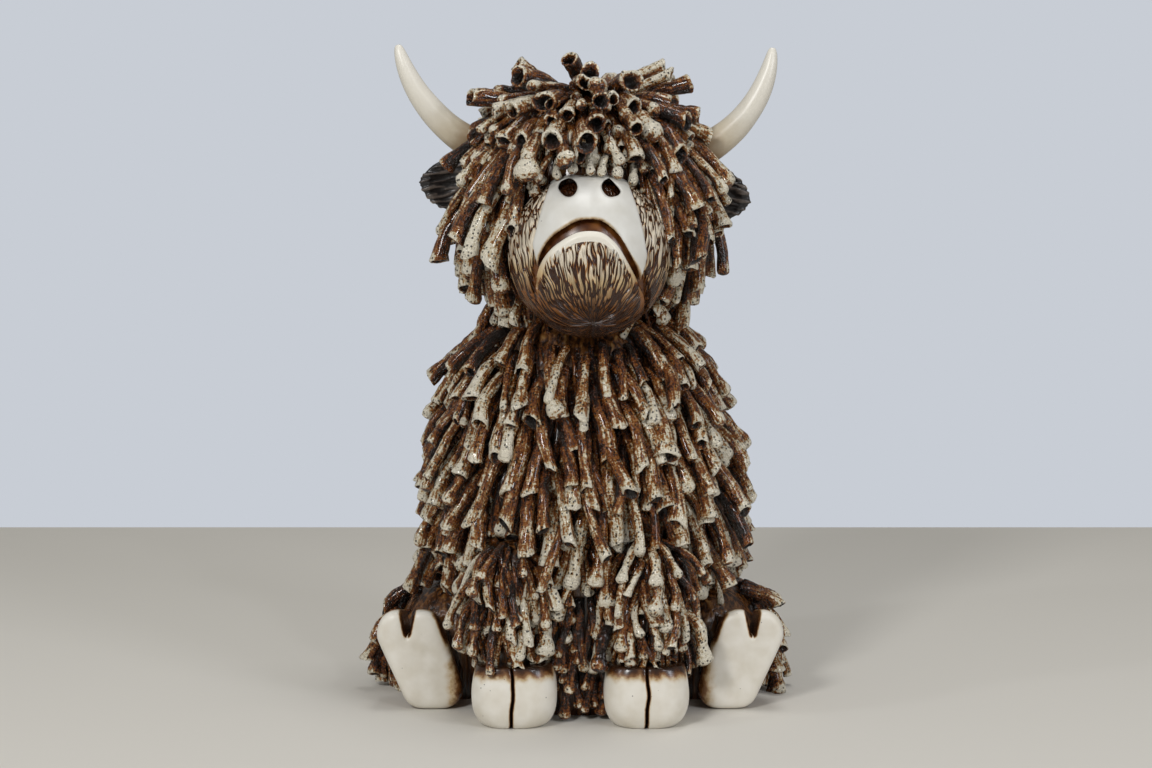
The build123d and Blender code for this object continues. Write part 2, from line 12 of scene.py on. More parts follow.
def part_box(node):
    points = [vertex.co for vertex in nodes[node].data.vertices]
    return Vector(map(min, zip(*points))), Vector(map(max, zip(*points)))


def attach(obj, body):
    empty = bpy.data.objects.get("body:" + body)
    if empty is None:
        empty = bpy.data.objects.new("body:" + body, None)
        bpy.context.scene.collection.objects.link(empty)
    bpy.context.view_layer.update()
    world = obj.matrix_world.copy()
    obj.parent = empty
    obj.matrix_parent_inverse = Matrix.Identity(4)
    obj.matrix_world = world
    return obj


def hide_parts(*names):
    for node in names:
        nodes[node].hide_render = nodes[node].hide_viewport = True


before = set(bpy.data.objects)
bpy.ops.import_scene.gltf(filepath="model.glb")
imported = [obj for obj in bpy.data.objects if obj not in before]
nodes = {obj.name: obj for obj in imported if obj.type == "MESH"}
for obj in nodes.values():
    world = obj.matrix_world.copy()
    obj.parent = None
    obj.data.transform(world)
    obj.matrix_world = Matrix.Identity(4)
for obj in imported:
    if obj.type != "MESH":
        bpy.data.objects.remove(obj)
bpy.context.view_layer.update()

# Sizes of the figure are in millimetres, those of the set and the lamps in metres.
MM = 0.001
MERGE_DISTANCE = 0.002

# Rolled locks: rings of vertices from the root to the rim, then over the rim and into the hollow
LOCK_SIDES, LOCK_RINGS = 14, 14
STRAND_SIDES, STRAND_RINGS = 9, 9
# Each ring past the rim: its share of the lock's width, and how far past the rim it is, in millimetres for
# an open end and in shares of the bead's length for a bead
OPEN_END = ((0.99, 0.20), (0.88, 0.38), (0.72, 0.14), (0.62, -0.9), (0.50, -2.6), (0.34, -4.4))
BEAD_END = ((0.96, 0.30), (0.85, 0.56), (0.68, 0.77), (0.47, 0.91), (0.25, 0.98), (0.05, 1.0))
# Painted shade on each ring past the rim of an open end, nearly black down into the hollow
END_HOLLOW_SHADE = (0.0, 0.0, 0.25, 0.8, 1.0, 1.0)
ROOT_SHARE = 0.76
ROLL_STEP = 0.22
BEND, FULL_BEND_LENGTH = 2.2, 24.0
BULGE = 1.2
LUMP_HEIGHT, LUMP_SIZE = 0.17, 2.1
RIM_RAGGED = 0.7

# How far one lock may differ from the next: its seam in radians, its form in shares of its radius
SEAM_TWIST = 1.2
OVAL = 0.14
RIM_SLANT = 0.8
END_FLARE = (-0.1, 0.3)
BEAD_LENGTH = (0.75, 1.1)
HOLLOW_OFFSET = 0.14
# How far it is out of line: the spread of its turn, its shift in millimetres, and shares of its own size
RUFFLE_TURN = math.radians(8.5)
RUFFLE_SHIFT = (-3.0, 1.5)
RUFFLE_LENGTH, RUFFLE_RADIUS = (0.86, 1.1), (0.72, 1.18)

# Strands beside the locks: their brushing, how many end in a bead and how far they curl in
STRAND_BRUSH, STRAND_BEADS, STRAND_DROOP = -0.06, 0.5, 0.05
# How much the brushing varies from one lock or strand to the next
LOCK_BRUSH_SPREAD, STRAND_BRUSH_SPREAD, ADDED_BRUSH_SPREAD = 0.13, 0.1, 0.08

# Each part of the coat: how much cream is brushed on, how many locks end in a bead, how far they curl in
COAT_FINISH = {
    "haunch": (0.04, 0.3, 0.08),
    "foreleg": (0.07, 0.6, 0.1),
    "lower": (0.03, 0.25, 0.04),
    "middle": (0.02, 0.25, 0.04),
    "upper": (0.02, 0.25, 0.04),
    "collar": (0.05, 0.25, 0.04),
    "front_lower": (0.03, 0.25, 0.17),
    "front_middle": (0.02, 0.25, 0.17),
    "front_upper": (0.02, 0.25, 0.17),
    "front_collar": (0.03, 0.25, 0.17),
    "crown": (0.02, 0.08, 0.03),
    "head": (0.02, 0.15, 0.13),
}

# Strands between the forelegs: the heights of their rows, their spacing and their brushing
BELLY_ROWS = (44, 36, 28, 20)
BELLY_SPACING = 2.6
BELLY_BRUSH = -0.28

# Muzzle, measured from the middle of the snout ball: sideways and up on its front
SNOUT_RADIUS = 25.0
SNOUT_FILL = 2.05
NOSE_RADIUS = 27.6
MOUTH_ARC_RADIUS, MOUTH_ARC_RISE = 17.2, -4.7
LIP_ARC_RADIUS, LIP_ARC_RISE = 17.66, -8.86
JAW_ARC_RADIUS, JAW_ARC_RISE = 17.5, -6.5
NOSTRIL_ASIDE, NOSTRIL_RISE = 6.7, 22.6
# Pulls on the edges of the nostrils: where, how far around and which way
NOSTRIL_PULLS = (
    ((-6.7, 20.2), 4.5, (0.0, -1.3)),
    ((-9.8, 23.5), 3.6, (-1.0, 0.6)),
    ((6.4, 20.0), 4.5, (0.3, -1.2)),
    ((8.9, 24.2), 3.0, (-1.9, -1.2)),
    ((9.6, 21.6), 3.0, (0.9, 0.0)),
)
CHIN_WHORL = (1.2, -21.5)
WHORL_RADIUS = 15.0

# Locks of the forehead end above this rise over the width of the nose, with a row of beads below them
NOSE_CLEAR_WIDTH, NOSE_CLEAR_RISE = 34.0, 33.0
SHORTEST_LOCK, SHORTENED_BRUSH = 5.0, 0.15
NOSE_BEADS = (-15.5, -10.5, -5.0, 0.2, 4.6, 9.4, 14.2)
NOSE_BEAD_FRONT, NOSE_BEAD_RISE, NOSE_BEAD_BRUSH = -10.5, 28.4, 0.5

# Horns: the arc that each follows, left (-1) and right (1), and how it is drawn in to the tip
HORN_BEND_RADIUS = {-1: 53.0, 1: 44.0}
HORN_ROOT_ANGLE, HORN_TIP_ANGLE = {-1: 18.5, 1: 13.0}, {-1: 77.0, 1: 85.0}
HORN_ROOT_OUT, HORN_ROOT_RISE = {-1: 30.4, 1: 30.9}, {-1: 13.65, 1: 11.95}
HORN_ROOT_RADIUS, HORN_TIP_RADIUS, HORN_TAPER = 6.0, 0.4, 0.42
HORN_SIDES, HORN_STATIONS = 32, 60
HEAD_RADIUS = 35.0

# Ears and hooves
EAR_ROOT_RISE, EAR_TIP_DROP = 2.5, 5.0
CLEFT_CLOSING, CLEFT_WAVER, CLEFT_WAVE = 0.4, 1.8, 8.0
HOOF_BACK_NARROWING = 0.16

# Camera, placed to match the photograph
CAMERA_PLACE = (-0.0014, -0.8, 0.192)
CAMERA_PITCH = math.radians(5.91)
CAMERA_LENS, CAMERA_SENSOR = 71.8, 36.0


# Helpers


def box_of(node):
    """The lower and upper corners of a CAD node's box, in millimetres."""
    low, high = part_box(node)
    return low / MM, high / MM


snout_low, snout_high = box_of("snout")
SNOUT_MIDDLE = Vector(
    ((snout_low.x + snout_high.x) / 2, snout_low.y + SNOUT_RADIUS, snout_low.z + SNOUT_RADIUS)
)


def linear(colour):
    """An sRGB hex colour as linear RGBA."""
    channels = [int(colour[i : i + 2], 16) / 255 for i in (1, 3, 5)]
    return [c / 12.92 if c <= 0.04045 else ((c + 0.055) / 1.055) ** 2.4 for c in channels] + [1.0]


def smooth(low, high, value):
    """0 below low, 1 above high, and an even slope between. low may be the larger."""
    share = min(max((value - low) / (high - low), 0.0), 1.0)
    return share * share * (3 - 2 * share)


def wire(tree, kind, inputs=None, out=0, stops=None, **settings):
    """Add a shader node with its settings, set or link its inputs, and return one of its outputs.

    A colour ramp also takes its stops. Inputs 6 and 7 of a Mix node are its colours, and output 2 the result.
    """
    made = tree.nodes.new("ShaderNode" + kind)
    for name, value in settings.items():
        setattr(made, name, value)
    for name, value in (inputs or {}).items():
        if isinstance(value, bpy.types.NodeSocket):
            tree.links.new(value, made.inputs[name])
        else:
            made.inputs[name].default_value = value
    if stops:
        elements = made.color_ramp.elements
        while len(elements) < len(stops):
            elements.new(1.0)
        for element, (place, colour) in zip(elements, stops):
            element.position = place
            element.color = linear(colour)
    return made.outputs[out]


def new_material(name):
    """An empty material, its node tree and the shader that ends it."""
    material = bpy.data.materials.new(name)
    material.use_nodes = True
    tree = material.node_tree
    return material, tree, tree.nodes["Principled BSDF"]


# How each finish is made


def lacquered_lock_material():
    """Cast resin, stained amber, dry-brushed with cream and lacquered.

    The stain is nearly black down the sides of each lock and at the roots, where it pools and painted shade
    darkens it further; the inside of each open end is painted nearly black as shade. Cream catches on the
    raised side in ragged streaks and covers the rim, peppered with black pits. The lacquer breaks up into
    small sharp highlights on the wrinkled surface.
    """
    material, tree, shader = new_material("amber_lacquered_resin")
    roll = wire(tree, "Attribute", attribute_name="roll", out="Vector")
    brushed = wire(tree, "Attribute", attribute_name="brushed", out="Fac")
    stain_pool_and_shade = wire(tree, "Attribute", attribute_name="stain_pool_and_shade", out="Fac")
    # The roll attribute is in millimetres: streaks of 1.2 by 5 mm, grain of 0.7 mm, wrinkles of 0.7 mm,
    # and pits 1.3 mm apart.
    lengthwise = wire(tree, "Mapping", {"Vector": roll, "Scale": (0.85, 0.85, 0.2)})
    streaks = wire(tree, "TexNoise", {"Vector": lengthwise, "Scale": 1.0, "Detail": 3.0, "Roughness": 0.6})
    grain = wire(tree, "TexNoise", {"Vector": roll, "Scale": 1.4, "Detail": 2.0, "Roughness": 0.6})
    crosswise = wire(tree, "Mapping", {"Vector": roll, "Scale": (0.35, 0.35, 1.4)})
    wrinkles = wire(tree, "TexNoise", {"Vector": crosswise, "Scale": 1.0, "Detail": 2.0, "Distortion": 0.5})
    cells = wire(tree, "TexVoronoi", {"Vector": roll, "Scale": 0.75, "Randomness": 1.0}, feature="F1")

    # Brushing reaches a point by its place on the lock. The three noises, about 0.5 each, break it up.
    drawn = wire(tree, "Math", {0: streaks, 1: 1.5, 2: brushed}, operation="MULTIPLY_ADD")
    grained = wire(tree, "Math", {0: grain, 1: 0.6, 2: drawn}, operation="MULTIPLY_ADD")
    broken = wire(tree, "Math", {0: wrinkles, 1: 0.5, 2: grained}, operation="MULTIPLY_ADD")
    # Painted shade: the roots are darkened further, over the stain that pools there.
    pooled_and_shaded = wire(tree, "Math", {0: stain_pool_and_shade, 1: -0.25, 2: broken}, operation="MULTIPLY_ADD")
    shade = wire(tree, "MapRange", {"Value": pooled_and_shaded, "From Min": 1.3, "From Max": 2.3})
    paint = wire(
        tree,
        "ValToRGB",
        {"Fac": shade},
        stops=(
            (0.04, "#140A05"),
            (0.2, "#3C1C0A"),
            (0.36, "#6E3810"),
            (0.5, "#8E541B"),
            (0.58, "#A0743C"),
            (0.66, "#D3C3A0"),
            (0.8, "#ECE3CE"),
        ),
    )
    pits = wire(tree, "MapRange", {"Value": cells, "From Min": 0.3, "From Max": 0.2, "To Max": 0.9})
    speckled = wire(tree, "Mix", {0: pits, 6: paint, 7: linear("#170C06")}, out=2, data_type="RGBA")
    # Painted shade: the inside of each open end is mixed towards nearly black.
    hollow_shade = wire(tree, "MapRange", {"Value": stain_pool_and_shade, "From Min": 0.72, "From Max": 1.0, "To Max": 0.93})
    colour = wire(tree, "Mix", {0: hollow_shade, 6: speckled, 7: linear("#120B07")}, out=2, data_type="RGBA")
    gloss = wire(
        tree,
        "MapRange",
        {"Value": shade, "From Min": 0.4, "From Max": 0.7, "To Min": 0.13, "To Max": 0.3},
    )
    wrinkled = wire(tree, "Math", {0: wrinkles, 1: 0.9, 2: grain}, operation="MULTIPLY_ADD")
    relief = wire(tree, "Math", {0: pits, 1: -0.25, 2: wrinkled}, operation="MULTIPLY_ADD")
    bump = wire(tree, "Bump", {"Height": relief, "Strength": 1.0, "Distance": 1.5 * MM})
    tree.links.new(colour, shader.inputs["Base Color"])
    tree.links.new(gloss, shader.inputs["Roughness"])
    tree.links.new(bump, shader.inputs["Normal"])
    shader.inputs["IOR"].default_value = 1.52
    shader.inputs["Coat Weight"].default_value = 0.35
    shader.inputs["Coat Roughness"].default_value = 0.05
    return material


def umber_core_material():
    """Cast resin in the gaps of the coat: combed brown strands between nearly black lines, lacquered."""
    material, tree, shader = new_material("umber_lacquered_resin")
    place = wire(tree, "TexCoord", out="Object")
    # Strands 1.4 mm wide and about 12 mm long.
    combed = wire(tree, "Mapping", {"Vector": place, "Scale": (700.0, 700.0, 80.0)})
    strands = wire(tree, "TexNoise", {"Vector": combed, "Scale": 1.0, "Detail": 3.0})
    colour = wire(
        tree,
        "ValToRGB",
        {"Fac": strands},
        stops=((0.32, "#140B06"), (0.48, "#47280F"), (0.6, "#6E4520"), (0.75, "#93703F")),
    )
    bump = wire(tree, "Bump", {"Height": strands, "Strength": 0.8, "Distance": 0.8 * MM})
    tree.links.new(colour, shader.inputs["Base Color"])
    tree.links.new(bump, shader.inputs["Normal"])
    shader.inputs["Roughness"].default_value = 0.25
    shader.inputs["Coat Weight"].default_value = 0.4
    shader.inputs["Coat Roughness"].default_value = 0.12
    return material


def washed_cream_material(name, shaded, plain):
    """Cast resin painted cream, with brown wash wiped into its recesses: satin, with a few pinholes."""
    material, tree, shader = new_material(name)
    place = wire(tree, "TexCoord", out="Object")
    wash = wire(tree, "Attribute", attribute_name="wash", out="Fac")
    # Cloudy patches about 6 mm across, ragged wash edges of 1.2 mm, and pinholes every 5 mm or so.
    clouds = wire(tree, "TexNoise", {"Vector": place, "Scale": 160.0, "Detail": 2.0})
    ragged = wire(tree, "TexNoise", {"Vector": place, "Scale": 800.0, "Detail": 3.0})
    cells = wire(tree, "TexVoronoi", {"Vector": place, "Scale": 210.0, "Randomness": 1.0}, feature="F1")
    paint = wire(tree, "ValToRGB", {"Fac": clouds}, stops=((0.3, shaded), (0.65, plain)))
    broken = wire(tree, "Math", {0: ragged, 1: 0.5, 2: -0.25}, operation="MULTIPLY_ADD")
    edge = wire(tree, "Math", {0: wash, 1: 0.9, 2: -0.45}, operation="MULTIPLY_ADD")
    spread = wire(tree, "Math", {0: edge}, operation="ABSOLUTE")
    near_edge = wire(tree, "MapRange", {"Value": spread, "From Min": 0.45, "From Max": 0.2})
    wavering = wire(tree, "Math", {0: broken, 1: near_edge, 2: wash}, operation="MULTIPLY_ADD")
    stain = wire(
        tree,
        "ValToRGB",
        {"Fac": wavering},
        stops=(
            (0.0, "#FFFFFF"),
            (0.22, "#D9C3A1"),
            (0.45, "#8C623B"),
            (0.7, "#4B2C17"),
            (1.0, "#1D110A"),
        ),
    )
    washed = wire(
        tree, "Mix", {0: 1.0, 6: paint, 7: stain}, out=2, data_type="RGBA", blend_type="MULTIPLY"
    )
    pinholes = wire(tree, "MapRange", {"Value": cells, "From Min": 0.05, "From Max": 0.035, "To Max": 0.8})
    colour = wire(tree, "Mix", {0: pinholes, 6: washed, 7: linear("#2A1B12")}, out=2, data_type="RGBA")
    gloss = wire(tree, "MapRange", {"Value": wash, "To Min": 0.38, "To Max": 0.2})
    relief = wire(tree, "Math", {0: pinholes, 1: -1.0, 2: clouds}, operation="MULTIPLY_ADD")
    bump = wire(tree, "Bump", {"Height": relief, "Strength": 0.25, "Distance": 0.4 * MM})
    tree.links.new(colour, shader.inputs["Base Color"])
    tree.links.new(gloss, shader.inputs["Roughness"])
    tree.links.new(bump, shader.inputs["Normal"])
    shader.inputs["IOR"].default_value = 1.5
    return material


def combed_cream_material():
    """Cast resin combed like short fur: cream ridges, nearly black wash in the grooves, browner below."""
    material, tree, shader = new_material("combed_cream_resin")
    fur = wire(tree, "Attribute", attribute_name="fur", out="Vector")
    wash = wire(tree, "Attribute", attribute_name="wash", out="Fac")
    masked = wire(tree, "Attribute", attribute_name="combed", out="Fac")
    # The fur attribute is in millimetres across and along the strokes. The grooves are the level lines of a
    # noise drawn out along them, about 1.5 mm apart and 10 mm long. Wash fills them and thins the ridges.
    drawn = wire(tree, "Mapping", {"Vector": fur, "Scale": (0.68, 0.1, 0.3)})
    strokes = wire(tree, "TexNoise", {"Vector": drawn, "Scale": 1.0, "Detail": 1.0, "Distortion": 0.15})
    off_level = wire(tree, "Math", {0: strokes, 1: 0.5}, operation="SUBTRACT")
    from_line = wire(tree, "Math", {0: off_level}, operation="ABSOLUTE")
    filled = wire(tree, "Math", {0: wash, 1: -0.09, 2: from_line}, operation="MULTIPLY_ADD")
    groove = wire(tree, "MapRange", {"Value": filled, "From Min": 0.08, "From Max": 0.02, "To Max": 0.85})
    grooved = wire(tree, "Math", {0: groove, 1: masked}, operation="MULTIPLY")
    tint = wire(tree, "Math", {0: wash, 1: 0.65}, operation="MULTIPLY")
    deepest = wire(tree, "Math", {0: grooved, 1: tint}, operation="MAXIMUM")
    colour = wire(
        tree,
        "ValToRGB",
        {"Fac": deepest},
        stops=(
            (0.0, "#E4DED0"),
            (0.2, "#C9AE82"),
            (0.42, "#855222"),
            (0.65, "#4A2408"),
            (0.95, "#1F0E04"),
        ),
    )
    gloss = wire(tree, "MapRange", {"Value": deepest, "To Min": 0.34, "To Max": 0.18})
    ridge = wire(tree, "Math", {0: from_line, 1: masked}, operation="MULTIPLY")
    bump = wire(tree, "Bump", {"Height": ridge, "Strength": 1.0, "Distance": 5.0 * MM})
    tree.links.new(colour, shader.inputs["Base Color"])
    tree.links.new(gloss, shader.inputs["Roughness"])
    tree.links.new(bump, shader.inputs["Normal"])
    shader.inputs["IOR"].default_value = 1.5
    return material


def ivory_horn_material():
    """Cast resin painted ivory and rubbed smooth: a soft satin sheen, faintly cloudy, brown at the root."""
    material, tree, shader = new_material("ivory_satin_resin")
    place = wire(tree, "TexCoord", out="Object")
    along = wire(tree, "Attribute", attribute_name="along", out="Fac")
    # Clouds about 4 mm across.
    clouds = wire(tree, "TexNoise", {"Vector": place, "Scale": 260.0, "Detail": 2.0})
    shifted = wire(tree, "Math", {0: clouds, 1: 0.1, 2: along}, operation="MULTIPLY_ADD")
    colour = wire(
        tree,
        "ValToRGB",
        {"Fac": shifted},
        stops=(
            (0.2, "#4A2F1B"),
            (0.28, "#8F7656"),
            (0.4, "#C4B8A1"),
            (0.58, "#D8D2C4"),
            (0.95, "#E2DDD1"),
        ),
    )
    bump = wire(tree, "Bump", {"Height": clouds, "Strength": 0.15, "Distance": 0.4 * MM})
    tree.links.new(colour, shader.inputs["Base Color"])
    tree.links.new(bump, shader.inputs["Normal"])
    shader.inputs["Roughness"].default_value = 0.33
    return material


def charcoal_ear_material():
    """Cast resin stained charcoal: combed grooves with pale grey brushed on their ridges and the edge."""
    material, tree, shader = new_material("charcoal_resin")
    place = wire(tree, "TexCoord", out="Object")
    ridge = wire(tree, "Attribute", attribute_name="ridge", out="Fac")
    # Grit of 1.1 mm.
    grit = wire(tree, "TexNoise", {"Vector": place, "Scale": 900.0, "Detail": 2.0})
    lit = wire(tree, "Math", {0: grit, 1: 0.35, 2: ridge}, operation="MULTIPLY_ADD")
    colour = wire(
        tree,
        "ValToRGB",
        {"Fac": lit},
        stops=((0.2, "#0E0C0C"), (0.55, "#2B2726"), (0.85, "#6B6058"), (1.0, "#CFC6B6")),
    )
    bump = wire(tree, "Bump", {"Height": grit, "Strength": 0.3, "Distance": 0.4 * MM})
    tree.links.new(colour, shader.inputs["Base Color"])
    tree.links.new(bump, shader.inputs["Normal"])
    shader.inputs["Roughness"].default_value = 0.32
    return material


# How the coat is made


def finished(name, shape, material, replaced):
    """Turn a bmesh into a smooth piece on the figure in place of a CAD node, on or above the ground."""
    for vert in shape.verts:
        vert.co.z = max(vert.co.z, 0.0)
    mesh = bpy.data.meshes.new(name)
    shape.to_mesh(mesh)
    shape.free()
    mesh.polygons.foreach_set("use_smooth", [True] * len(mesh.polygons))
    mesh.materials.append(material)
    piece = bpy.data.objects.new(name, mesh)
    bpy.context.scene.collection.objects.link(piece)
    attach(piece, "root")
    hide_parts(replaced)


def merged_copy(node):
    """A CAD node's surface with its loose triangles joined."""
    shape = bmesh.new()
    shape.from_mesh(nodes[node].data)
    bmesh.ops.remove_doubles(shape, verts=shape.verts, dist=MERGE_DISTANCE * MM)
    return shape


def separate_solids(shape):
    """The vertices of each separate solid."""
    unseen = set(shape.verts)
    while unseen:
        first = unseen.pop()
        solid, edge_of_search = [first], [first]
        while edge_of_search:
            vert = edge_of_search.pop()
            for edge in vert.link_edges:
                other = edge.other_vert(vert)
                if other in unseen:
                    unseen.remove(other)
                    solid.append(other)
                    edge_of_search.append(other)
        yield solid


def lock_lines(node):
    """Root, direction, length and end radius of each lock of a CAD node, in a fixed order."""
    shape = merged_copy(node)
    found = []
    for solid in separate_solids(shape):
        points = np.array([vert.co for vert in solid]) / MM
        middle = points.mean(0)
        way = np.linalg.eigh(np.cov((points - middle).T))[1][:, 2]
        reach = (points - middle) @ way
        aside = np.linalg.norm(points - middle - reach[:, None] * way, axis=1)
        end_band = 0.05
        radius_low = aside[reach < reach.min() + end_band].max()
        radius_high = aside[reach > reach.max() - end_band].max()
        root, tip = middle + way * reach.min(), middle + way * reach.max()
        if radius_low > radius_high:
            root, tip = tip, root
        along = Vector(tip - root)
        found.append((Vector(root), along.normalized(), along.length, float(max(radius_low, radius_high))))
    shape.free()
    return sorted(found, key=lambda line: tuple(round(value, 2) for value in line[0]))


def ring_edges(geometry):
    """The vertices and edges of a new ring of extruded vertices."""
    ring = {item for item in geometry if isinstance(item, bmesh.types.BMVert)}
    edges = {edge for vert in ring for edge in vert.link_edges if edge.other_vert(vert) in ring}
    return list(ring), list(edges)


def lock_rings(sides, outside_rings):
    """A lock as a straight stack of rings one unit apart, closed at both ends."""
    rolled = bmesh.new()
    ring = bmesh.ops.create_circle(rolled, segments=sides, radius=1.0)["verts"]
    edges = list({edge for vert in ring for edge in vert.link_edges})
    bmesh.ops.edgeloop_fill(rolled, edges=edges)
    for _ in range(outside_rings + len(OPEN_END) - 1):
        ring, edges = ring_edges(bmesh.ops.extrude_edge_only(rolled, edges=edges)["geom"])
        bmesh.ops.translate(rolled, verts=ring, vec=(0, 0, 1))
    bmesh.ops.edgeloop_fill(rolled, edges=edges)
    bmesh.ops.recalc_face_normals(rolled, faces=rolled.faces)
    template = bpy.data.meshes.new("lock_rings")
    rolled.to_mesh(template)
    rolled.free()
    return template


class LockPaint:
    """The attribute layers that the lock material reads."""

    def __init__(self, shape):
        self.roll = shape.verts.layers.float_vector.new("roll")
        self.brushed = shape.verts.layers.float.new("brushed")
        self.stain_pool_and_shade = shape.verts.layers.float.new("stain_pool_and_shade")


class LockForm:
    """The form of one lock: its line, and what is drawn by chance so that no two are alike.

    A place on its surface is given by the angle around it and the share of the way from the root to the rim.
    Rings past the rim are counted as inner, from 1.
    """

    def __init__(self, line, draw, bead, droop):
        self.root, self.way, self.length, self.radius = line
        self.bead, self.droop = bead, droop
        self.seed = draw.uniform(0, 900)
        self.seam = draw.uniform(0, 2 * math.pi)
        self.twist = draw.uniform(-SEAM_TWIST, SEAM_TWIST)
        self.oval = draw.uniform(-OVAL, OVAL)
        self.bend = BEND * min(1.0, self.length / FULL_BEND_LENGTH)
        self.slant = draw.uniform(0, RIM_SLANT) * self.radius
        self.slant_way = draw.uniform(0, 2 * math.pi)
        self.flare = draw.uniform(*END_FLARE)
        self.end = BEAD_END if bead else OPEN_END
        self.end_unit = self.radius * draw.uniform(*BEAD_LENGTH) if bead else 1.0
        offset = draw.uniform(-HOLLOW_OFFSET, HOLLOW_OFFSET), draw.uniform(-HOLLOW_OFFSET, HOLLOW_OFFSET)
        self.hollow_offset = Vector(offset) * self.radius

    def reach(self, share, inner):
        """Distance of a ring from the root."""
        past_rim = self.end[inner - 1][1] * self.end_unit if inner else 0.0
        return self.length * share + past_rim

    def from_seam(self, angle, share):
        """Share of a turn from the seam of the rolled strip, which winds along the lock: -0.5 to 0.5."""
        return ((angle - self.seam - self.twist * share) / (2 * math.pi)) % 1.0 - 0.5

    def width(self, angle, share, inner, reach):
        """Distance of the surface from the lock's middle line: a lumpy roll with a step at its seam."""
        width = self.radius * (ROOT_SHARE + (1 - ROOT_SHARE) * share**0.8)
        width *= 1 + self.flare * smooth(0.75, 1.0, share)
        if self.bead:
            width *= 1 - 0.2 * smooth(0.55, 0.78, share) + 0.25 * smooth(0.78, 1.0, share)
        if inner:
            width *= self.end[inner - 1][0]
        width *= 1 + ROLL_STEP * self.from_seam(angle, share) + self.oval * math.cos(2 * angle + self.seed)
        around = 1.2 * math.cos(angle) + self.seed, 1.2 * math.sin(angle)
        return width * (1 + LUMP_HEIGHT * noise.noise((*around, reach / LUMP_SIZE)))

    def ragged_rim(self, angle, share):
        """How much farther an open end reaches here than on the whole."""
        uneven = noise.noise((0.9 * math.cos(angle), 0.9 * math.sin(angle) + self.seed, 3.7))
        slanted = self.slant * math.cos(angle - self.slant_way)
        return smooth(0.8, 1.0, share) * (RIM_RAGGED * uneven + slanted)

    def bent(self, share):
        """How far the middle line sways aside and is lifted off the body."""
        seed, here = self.seed, share * 1.6 + self.seed
        sway = self.bend * (noise.noise((here, 0.5, 0.5)) - noise.noise((seed, 0.5, 0.5)))
        lift = self.bend * (noise.noise((0.5, here, 2.5)) - noise.noise((0.5, seed, 2.5)))
        return sway, lift + 4 * BULGE * share * (1 - share)


def roll_lock(shape, paint, template, form, outward, brush):
    """Add one lock to a coat piece: a bent, lumpy roll with an uneven open end, or a round closed one."""
    first = len(shape.verts)
    shape.from_mesh(template)
    shape.verts.ensure_lookup_table()
    last_outside = round(max(vert.co.z for vert in template.vertices)) - len(OPEN_END)
    out = (outward - form.way * outward.dot(form.way)).normalized()
    side = form.way.cross(out)
    for vert in shape.verts[first:]:
        ring = round(vert.co.z)
        angle = math.atan2(vert.co.y, vert.co.x)
        inner = max(0, ring - last_outside)
        share = min(1.0, ring / last_outside)
        reach = form.reach(share, inner)
        width = form.width(angle, share, inner, reach)
        if not form.bead:
            reach += form.ragged_rim(angle, share)
        sway, lift = form.bent(share)
        across, rise = width * math.cos(angle), width * math.sin(angle)
        if inner > 2:
            across, rise = across + form.hollow_offset.x, rise + form.hollow_offset.y
        # The lock curls towards the body: each ring turns with the curl and moves in by its share squared.
        curl = 2 * form.droop * share
        place = form.root + form.way * (reach + rise * math.sin(curl)) + side * (across + sway)
        place += out * (rise * math.cos(curl) + lift - form.droop * form.length * share * share)
        if inner:
            place -= out * (reach - form.length) * math.sin(curl)
        vert.co = place * MM
        # Cream is brushed on the side that faces out and on the rim, and misses the seam.
        facing = smooth(-0.6, 1.0, math.sin(angle))
        rim = 0.3 * smooth(0.93, 1.0, share) if inner < 3 else 0.0
        seam_line = 0.2 * smooth(0.42, 0.5, abs(form.from_seam(angle, share)))
        # Painted shade: rings down into the hollow of an open end are marked to be painted nearly black.
        hollow_shade = END_HOLLOW_SHADE[inner - 1] if inner and not form.bead else 0.0
        vert[paint.roll] = Vector((across, rise, reach + form.seed))
        vert[paint.brushed] = 0.2 + 0.2 * facing + 0.22 * facing * share**2 + rim - seam_line + brush
        # Painted shade towards the roots, over the stain that pools there, and in the hollow of an open end.
        vert[paint.stain_pool_and_shade] = max(hollow_shade, 0.7 * smooth(0.5, 0.0, share))


def strand_lines(line, outward, draw):
    """Two thin strands that lie flat on the core beside a lock and fill the gaps of the coat."""
    root, way, length, radius = line
    normal = outward.normalized()
    side = way.cross(normal).normalized()
    flat = (way - 0.9 * normal * way.dot(normal)).normalized()
    for turn in (-1, 1):
        start = root + side * turn * draw.uniform(1.0, 1.9) * radius - normal * 0.5 * radius
        tilted = (flat + side * draw.uniform(-0.3, 0.3) + normal * draw.uniform(0.0, 0.16)).normalized()
        yield start, tilted, length * draw.uniform(0.75, 1.25), radius * draw.uniform(0.42, 0.8)


def ruffled(line, outward, draw):
    """A lock a little out of line: turned aside, moved along and longer or shorter than its row."""
    root, way, length, radius = line
    turned = Matrix.Rotation(draw.gauss(0, RUFFLE_TURN), 3, outward) @ way
    moved = root + turned * draw.uniform(*RUFFLE_SHIFT)
    return moved, turned, length * draw.uniform(*RUFFLE_LENGTH), radius * draw.uniform(*RUFFLE_RADIUS)


def clear_of_nose(line):
    """A lock cut short at the upper edge of the nose pad if it would hang over it, and whether it was."""
    root, way, length, radius = line
    tip = root + way * length - SNOUT_MIDDLE
    from_above = root.z - SNOUT_MIDDLE.z > NOSE_CLEAR_RISE and way.z < -0.2
    over_nose = from_above and abs(tip.x) < NOSE_CLEAR_WIDTH / 2 and tip.z < NOSE_CLEAR_RISE
    if over_nose:
        length = max(SHORTEST_LOCK, length + (NOSE_CLEAR_RISE - tip.z) / way.z)
    return (root, way, length, radius), over_nose


